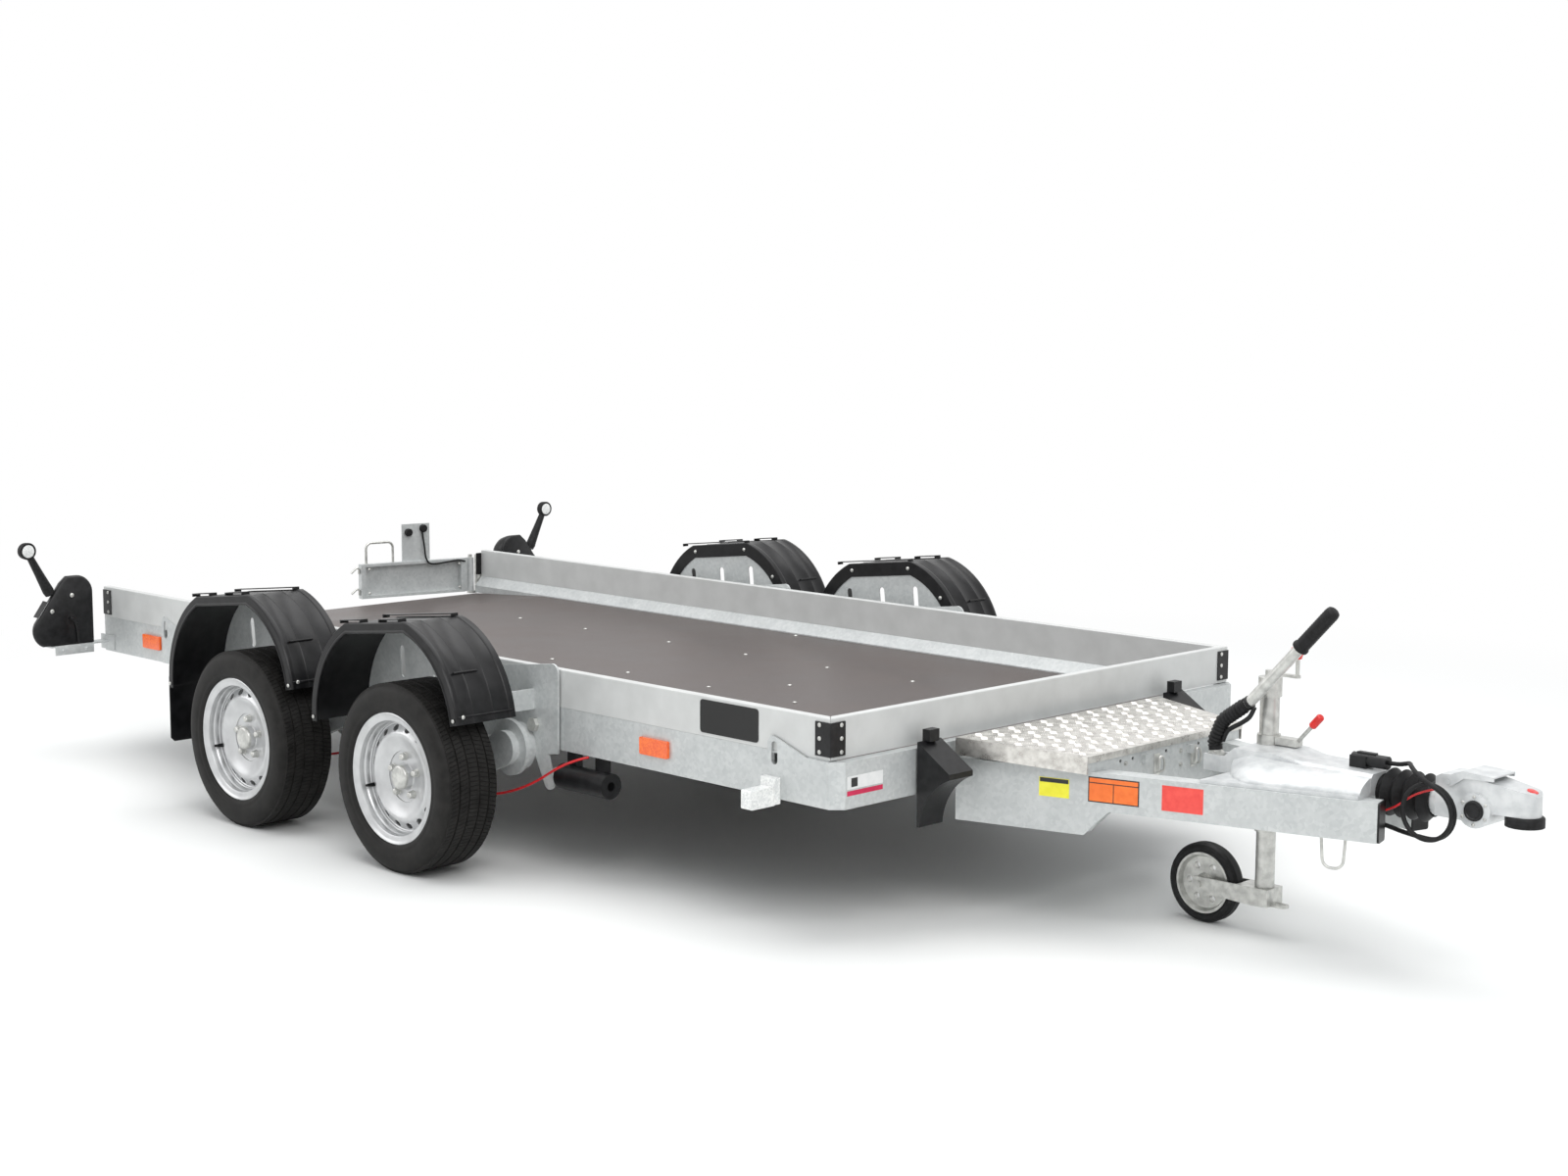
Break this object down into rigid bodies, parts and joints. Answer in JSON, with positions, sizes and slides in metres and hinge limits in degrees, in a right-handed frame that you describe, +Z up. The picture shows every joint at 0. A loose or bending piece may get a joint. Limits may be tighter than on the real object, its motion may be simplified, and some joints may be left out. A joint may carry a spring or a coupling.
{
  "type": "drop-deck trailer",
  "caption": "Braked tandem-axle trailer with a flat deck that lowers to the ground on swinging wheel carriers, low side boards, a drawbar box and a jockey wheel.",
  "frame": {"origin": "on the ground, below the middle of the whole trailer", "axes": "+X forwards towards the coupling, +Y to the left, +Z up"},
  "size_m": [5.0184, 2.3198, 0.8526],
  "materials": {
    "galvanised": "mottled matt zinc",
    "board_aluminium": "satin anodised",
    "floor_board": "coated plywood, fine mesh print",
    "tread_plate": "bright five-bar tread",
    "cast_housing": "bright zinc with a soft sheen",
    "black_plastic": "fine grain",
    "black_rubber": "matt",
    "tyre_rubber": "matt",
    "rim_silver": "silver lacquer",
    "red_plastic": "gloss",
    "red_sleeve": "smooth",
    "orange_lens": "ribbed reflector",
    "white_lens": "clear lens over white",
    "plate_black": "gloss, blank",
    "zinc_bright": "bright zinc"
  },
  "bodies": {
    "frame": {"side_rails": "galvanised", "cross_members": "galvanised", "front_member": "galvanised", "rear_member": "galvanised", "drawbar_beams": "galvanised", "beam_caps": "black_plastic", "beam_loop": "zinc_bright", "floor_panel": "floor_board", "rear_floor_strip": "floor_board", "side_boards": "board_aluminium", "board_corner_caps": "black_plastic", "tool_box": "galvanised", "wheel_chocks": "black_plastic", "side_reflectors": "orange_lens", "position_lamps": "white_lens", "name_plate": "plate_black", "pivot_bolts": "zinc_bright", "tail_lamps": "black_plastic", "tail_lamp_brackets": "galvanised", "marker_arms": "black_rubber", "overrun_housing": "cast_housing", "jockey_clamp": "zinc_bright", "clamp_knob": "red_plastic", "brake_cables": "red_sleeve", "cable_plug": "black_plastic", "plug_cable": "black_rubber", "breakaway_rope": "red_sleeve", "lowering_cylinders": "black_plastic", "draw_bellows": "black_rubber", "gate_post": "zinc_bright"},
    "carriers_front": {"swing_arms_front": "galvanised", "mudguards_front": "black_plastic"},
    "carriers_rear": {"swing_arms_rear": "galvanised", "mudguards_rear": "black_plastic"},
    "lowering_rods_body": {"lowering_rods": "zinc_bright"},
    "coupling": {"coupling_head": "cast_housing", "soft_dock": "black_rubber"},
    "coupling_lever": {"coupling_handle": "cast_housing"},
    "parking_lever": {"brake_lever": "zinc_bright", "lever_sleeve": "black_rubber", "lever_grip": "black_rubber"},
    "jockey_slide": {"jockey_leg": "zinc_bright"},
    "jockey_handle": {"jockey_crank": "zinc_bright", "crank_knob": "red_plastic"},
    "jockey_swivel": {"jockey_fork": "zinc_bright"},
    "jockey_roller": {"jockey_wheel": "zinc_bright", "jockey_tyre": "black_rubber"},
    "lid": {"box_lid": "tread_plate"},
    "rear_gate": {"gate": "galvanised", "gate_handle": "zinc_bright"},
    "wheel_front_right": {"rim_front_right": "rim_silver", "tyre_front_right": "tyre_rubber"},
    "wheel_front_left": {"rim_front_left": "rim_silver", "tyre_front_left": "tyre_rubber"},
    "wheel_rear_right": {"rim_rear_right": "rim_silver", "tyre_rear_right": "tyre_rubber"},
    "wheel_rear_left": {"rim_rear_left": "rim_silver", "tyre_rear_left": "tyre_rubber"}
  },
  "joints": [
    {"name": "lower_front", "type": "hinge", "parent": "frame", "child": "carriers_front", "pos_m": [-0.01281, 0, 0.4045], "axis": [0, 1, 0], "range_deg": [0, 48]},
    {"name": "spin_front_right", "type": "hinge", "parent": "carriers_front", "child": "wheel_front_right", "pos_m": [-0.24581, -1.067, 0.2625], "axis": [0, 1, 0], "continuous": true},
    {"name": "spin_front_left", "type": "hinge", "parent": "carriers_front", "child": "wheel_front_left", "pos_m": [-0.24581, 1.067, 0.2625], "axis": [0, 1, 0], "continuous": true},
    {"name": "lower_rear", "type": "hinge", "parent": "frame", "child": "carriers_rear", "pos_m": [-0.79581, 0, 0.4045], "axis": [0, 1, 0], "range_deg": [0, 48]},
    {"name": "spin_rear_right", "type": "hinge", "parent": "carriers_rear", "child": "wheel_rear_right", "pos_m": [-1.02881, -1.067, 0.2625], "axis": [0, 1, 0], "continuous": true},
    {"name": "spin_rear_left", "type": "hinge", "parent": "carriers_rear", "child": "wheel_rear_left", "pos_m": [-1.02881, 1.067, 0.2625], "axis": [0, 1, 0], "continuous": true},
    {"name": "lowering_stroke", "type": "slide", "parent": "frame", "child": "lowering_rods_body", "axis": [-1, 0, 0], "range_m": [0, 0.135]},
    {"name": "overrun_stroke", "type": "slide", "parent": "frame", "child": "coupling", "axis": [1, 0, 0], "range_m": [-0.09, 0], "stiffness_N_per_m": 2000, "springref_m": 0.05, "deforming": ["draw_bellows"]},
    {"name": "coupling_lift", "type": "hinge", "parent": "coupling", "child": "coupling_lever", "pos_m": [2.29919, 0, 0.48], "axis": [0, -1, 0], "range_deg": [0, 60]},
    {"name": "parking_brake", "type": "hinge", "parent": "frame", "child": "parking_lever", "pos_m": [1.67119, -0.052, 0.436], "axis": [0, 1, 0], "range_deg": [-38, 30]},
    {"name": "jockey_height", "type": "slide", "parent": "frame", "child": "jockey_slide", "axis": [0, 0, 1], "range_m": [-0.09, 0.13]},
    {"name": "jockey_crank_turn", "type": "hinge", "parent": "jockey_slide", "child": "jockey_handle", "pos_m": [1.76319, 0.038, 0.648], "axis": [0, 0, 1], "continuous": true},
    {"name": "jockey_castor", "type": "hinge", "parent": "jockey_slide", "child": "jockey_swivel", "pos_m": [1.76319, 0.038, 0.122], "axis": [0, 0, 1], "continuous": true},
    {"name": "jockey_roll", "type": "hinge", "parent": "jockey_swivel", "child": "jockey_roller", "pos_m": [1.59119, 0.038, 0.102], "axis": [0, 1, 0], "continuous": true},
    {"name": "lid_hinge", "type": "hinge", "parent": "frame", "child": "lid", "pos_m": [1.14919, 0, 0.474], "axis": [0, -1, 0], "range_deg": [0, 85]},
    {"name": "gate_hinge", "type": "hinge", "parent": "frame", "child": "rear_gate", "pos_m": [-2.40081, 0.76, 0.406], "axis": [0, 0, 1], "range_deg": [-80, 11.7]}
  ],
  "couplings": [
    {"joint": "lower_rear", "follows": "lower_front", "ratio": 1},
    {"joint": "lowering_stroke", "follows": "lower_front", "m_per_rad": 0.1595}
  ]
}
